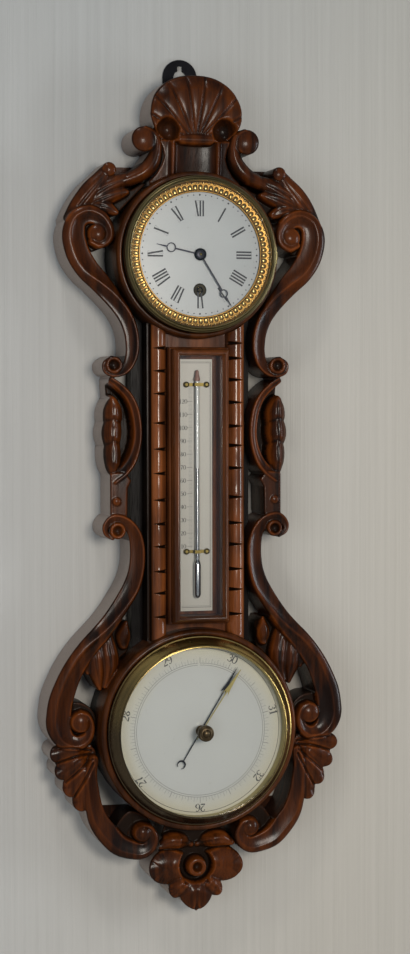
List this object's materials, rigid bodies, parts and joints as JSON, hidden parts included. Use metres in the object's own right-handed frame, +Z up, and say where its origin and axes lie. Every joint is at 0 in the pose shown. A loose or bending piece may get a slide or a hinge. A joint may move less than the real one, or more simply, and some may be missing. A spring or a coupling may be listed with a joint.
{
  "type": "wall barometer with clock",
  "caption": "Carved oak wall barometer: a round clock above, a thermometer in the trunk and a large aneroid dial below, with scrolled sides, a shell crest and a flower pendant.",
  "frame": {"origin": "on the backboard's back face, which lies against the wall, at the middle of the trunk", "axes": "+Z up the trunk to the crest, +X to the right as the dials are read, +Y into the wall: the dials face -Y"},
  "size_m": [0.2848, 0.0785, 0.7973],
  "materials": {
    "oak": "carved oak, dark stain under gloss varnish",
    "dark_oak": "near-black stained oak",
    "brass": "lacquered brass",
    "aged_brass": "aged olive brass with rubbed highlights",
    "gilt": "beaded gilt",
    "steel": "polished steel",
    "blued_steel": "blued steel, nearly black",
    "iron": "blackened iron",
    "enamel": "white enamel",
    "dial_paper": "off-white printed dial",
    "opal_glass": "opal glass scale",
    "glass": "clear",
    "mercury": "liquid mirror"
  },
  "bodies": {
    "case": {"backboard": "dark_oak", "trunk_panel": "dark_oak", "carved_side_left": "oak", "carved_side_right": "oak", "shell_crest": "oak", "flower_pendant": "oak", "clock_surround": "oak", "barometer_surround": "oak", "pilaster_left": "oak", "pilaster_right": "oak", "thermometer_frame": "oak", "thermometer_window": "glass", "scale_plate": "opal_glass", "thermometer_tube": "glass", "mercury": "mercury", "tube_clip_top": "brass", "tube_clip_bottom": "brass", "hanging_plate": "iron", "hanging_screw_1": "steel", "hanging_screw_2": "steel", "clock_mount_ring": "aged_brass", "clock_drum": "brass", "drum_back_cover": "brass", "bezel_hinge_pin": "steel", "clock_dial": "enamel", "front_plate": "brass", "back_plate": "brass", "escapement_platform": "brass", "barometer_case": "brass", "barometer_bezel": "aged_brass", "barometer_glass": "glass", "barometer_dial": "dial_paper", "aneroid_base": "brass", "vacuum_capsule": "brass", "c_spring": "steel", "fusee_chain": "steel", "arbor_bridge": "brass"},
    "hinged_bezel": {"clock_bezel": "aged_brass", "clock_glass": "glass", "sight_ring": "gilt"},
    "centre_arbor": {"centre_wheel": "brass", "minute_hand": "blued_steel"},
    "hour_pipe": {"hour_wheel": "brass", "hour_hand": "blued_steel"},
    "minute_stud": {"minute_wheel": "brass"},
    "barrel": {"mainspring_barrel": "brass", "barrel_cover": "brass", "mainspring": "steel"},
    "third_arbor": {"third_wheel": "brass"},
    "fourth_arbor": {"fourth_wheel": "brass"},
    "key_arbor": {"winding_arbor": "steel"},
    "balance_staff": {"balance": "brass"},
    "indicator": {"indicator_hand": "blued_steel", "hand_arbor": "steel"},
    "rocker": {"rocking_shaft": "steel"},
    "lever": {"main_lever": "brass"},
    "set_pointer": {"set_hand": "brass"}
  },
  "joints": [
    {"name": "bezel_hinge", "type": "hinge", "parent": "case", "child": "hinged_bezel", "pos_m": [0.0736, -0.0564, 0.2028], "axis": [0, 0, 1], "range_deg": [0, 110]},
    {"name": "minute_hand_turn", "type": "hinge", "parent": "case", "child": "centre_arbor", "pos_m": [0, -0.05, 0.2028], "axis": [0, 1, 0], "continuous": true},
    {"name": "hour_hand_turn", "type": "hinge", "parent": "case", "child": "hour_pipe", "pos_m": [0, -0.05, 0.2028], "axis": [0, 1, 0], "continuous": true},
    {"name": "minute_wheel_turn", "type": "hinge", "parent": "case", "child": "minute_stud", "pos_m": [0.01128, -0.05, 0.2069], "axis": [0, 1, 0], "continuous": true},
    {"name": "barrel_turn", "type": "hinge", "parent": "case", "child": "barrel", "pos_m": [0, -0.039, 0.1701], "axis": [0, 1, 0], "continuous": true},
    {"name": "third_wheel_turn", "type": "hinge", "parent": "case", "child": "third_arbor", "pos_m": [-0.01871, -0.036, 0.2136], "axis": [0, 1, 0], "continuous": true},
    {"name": "fourth_wheel_turn", "type": "hinge", "parent": "case", "child": "fourth_arbor", "pos_m": [-0.00789, -0.036, 0.22649], "axis": [0, 1, 0], "continuous": true},
    {"name": "winding_turn", "type": "hinge", "parent": "case", "child": "key_arbor", "pos_m": [0, -0.039, 0.1701], "axis": [0, 1, 0], "continuous": true},
    {"name": "balance_swing", "type": "hinge", "parent": "case", "child": "balance_staff", "pos_m": [-0.00789, -0.036, 0.2438], "axis": [0, 0, 1], "range_deg": [-150, 150], "stiffness_Nm_per_rad": 0.000002},
    {"name": "indicator_turn", "type": "hinge", "parent": "case", "child": "indicator", "pos_m": [0, -0.05, -0.2368], "axis": [0, 1, 0], "range_deg": [-180, 55]},
    {"name": "rocker_turn", "type": "hinge", "parent": "case", "child": "rocker", "pos_m": [0.043, -0.0345, -0.2368], "axis": [0, 0, 1], "range_deg": [-9, 2.75]},
    {"name": "lever_turn", "type": "hinge", "parent": "case", "child": "lever", "pos_m": [0, -0.0342, -0.2368], "axis": [0, 0, 1], "range_deg": [-1.5, 0.46]},
    {"name": "set_hand_turn", "type": "hinge", "parent": "case", "child": "set_pointer", "pos_m": [0, -0.07, -0.2368], "axis": [0, 1, 0], "continuous": true}
  ],
  "couplings": [
    {"joint": "hour_hand_turn", "follows": "minute_hand_turn", "ratio": 0.083333},
    {"joint": "minute_wheel_turn", "follows": "minute_hand_turn", "ratio": -0.33333},
    {"joint": "barrel_turn", "follows": "minute_hand_turn", "ratio": -0.16667},
    {"joint": "third_wheel_turn", "follows": "minute_hand_turn", "ratio": -8},
    {"joint": "fourth_wheel_turn", "follows": "minute_hand_turn", "ratio": 60},
    {"joint": "rocker_turn", "follows": "indicator_turn", "ratio": 0.05},
    {"joint": "lever_turn", "follows": "indicator_turn", "ratio": 0.0083333}
  ]
}
